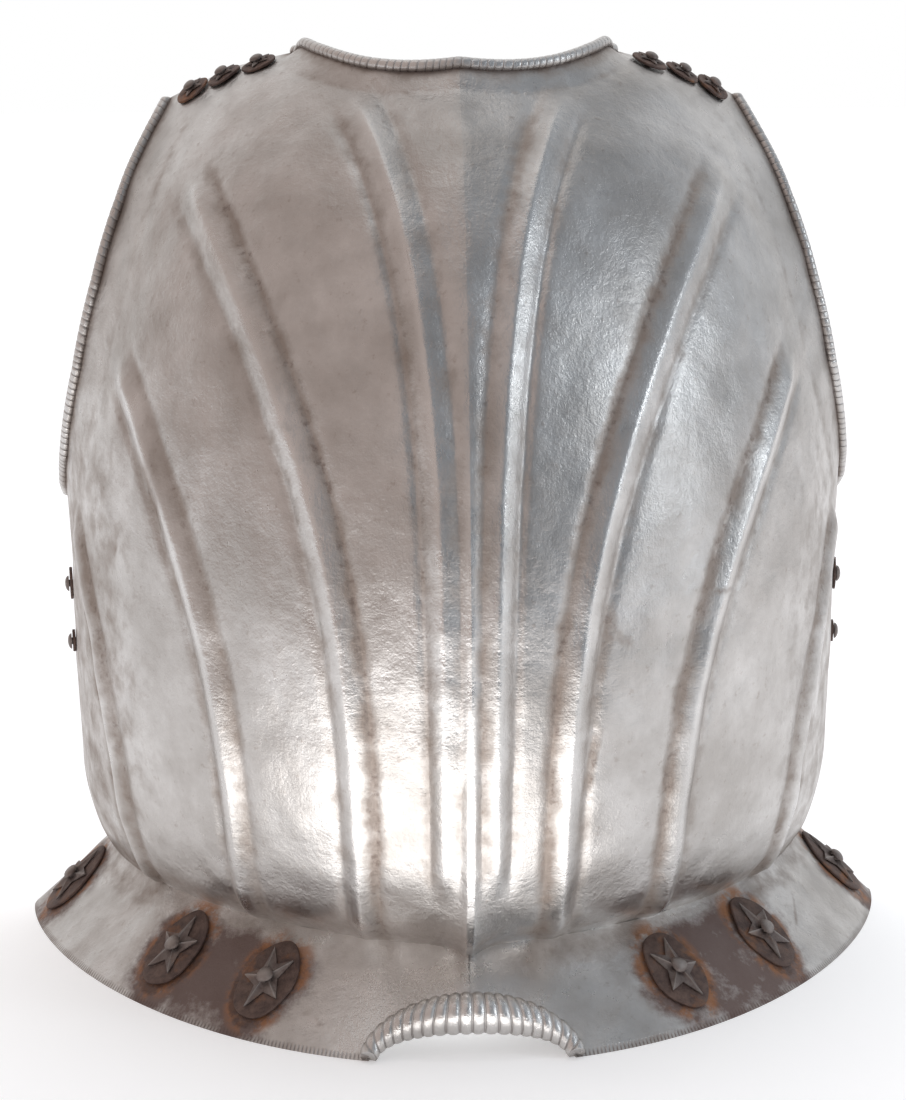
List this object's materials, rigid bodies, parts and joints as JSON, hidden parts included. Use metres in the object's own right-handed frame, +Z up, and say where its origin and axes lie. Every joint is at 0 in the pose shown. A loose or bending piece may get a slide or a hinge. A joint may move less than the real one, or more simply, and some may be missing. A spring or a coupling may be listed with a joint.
{
  "type": "breastplate",
  "caption": "Front plate of a fluted cuirass: keeled body, flutes fanning upward, turned edges at neck and arms, flared waist flange with an arched cut-out.",
  "frame": {"origin": "middle of the bounding box, on the plane the flange rim stands on", "axes": "+Z up, -Y the front of the plate, +X to the right of a viewer who faces the front"},
  "size_m": [0.424, 0.2173, 0.4291],
  "materials": {
    "steel_plate": "worn forged steel with rust in the hollows",
    "iron_disc": "rusted iron",
    "iron_star": "worn dark iron",
    "iron_rivet": "worn dark iron"
  },
  "bodies": {
    "root": {"breastplate": "steel_plate", "flange_disc_left_inner": "iron_disc", "flange_disc_left_middle": "iron_disc", "flange_disc_left_outer": "iron_disc", "flange_disc_right_inner": "iron_disc", "flange_disc_right_middle": "iron_disc", "flange_disc_right_outer": "iron_disc", "flange_rivet_left_inner": "iron_rivet", "flange_rivet_left_middle": "iron_rivet", "flange_rivet_left_outer": "iron_rivet", "flange_rivet_right_inner": "iron_rivet", "flange_rivet_right_middle": "iron_rivet", "flange_rivet_right_outer": "iron_rivet", "flange_star_left_inner": "iron_star", "flange_star_left_middle": "iron_star", "flange_star_left_outer": "iron_star", "flange_star_right_inner": "iron_star", "flange_star_right_middle": "iron_star", "flange_star_right_outer": "iron_star", "shoulder_disc_left_inner": "iron_disc", "shoulder_disc_left_middle": "iron_disc", "shoulder_disc_left_outer": "iron_disc", "shoulder_disc_right_inner": "iron_disc", "shoulder_disc_right_middle": "iron_disc", "shoulder_disc_right_outer": "iron_disc", "shoulder_rivet_left_inner": "iron_rivet", "shoulder_rivet_left_middle": "iron_rivet", "shoulder_rivet_left_outer": "iron_rivet", "shoulder_rivet_right_inner": "iron_rivet", "shoulder_rivet_right_middle": "iron_rivet", "shoulder_rivet_right_outer": "iron_rivet", "shoulder_star_left_inner": "iron_star", "shoulder_star_left_middle": "iron_star", "shoulder_star_left_outer": "iron_star", "shoulder_star_right_inner": "iron_star", "shoulder_star_right_middle": "iron_star", "shoulder_star_right_outer": "iron_star", "side_rivet_left_lower": "iron_rivet", "side_rivet_left_upper": "iron_rivet", "side_rivet_right_lower": "iron_rivet", "side_rivet_right_upper": "iron_rivet", "side_washer_left_lower": "iron_disc", "side_washer_left_upper": "iron_disc", "side_washer_right_lower": "iron_disc", "side_washer_right_upper": "iron_disc"}
  },
  "joints": []
}
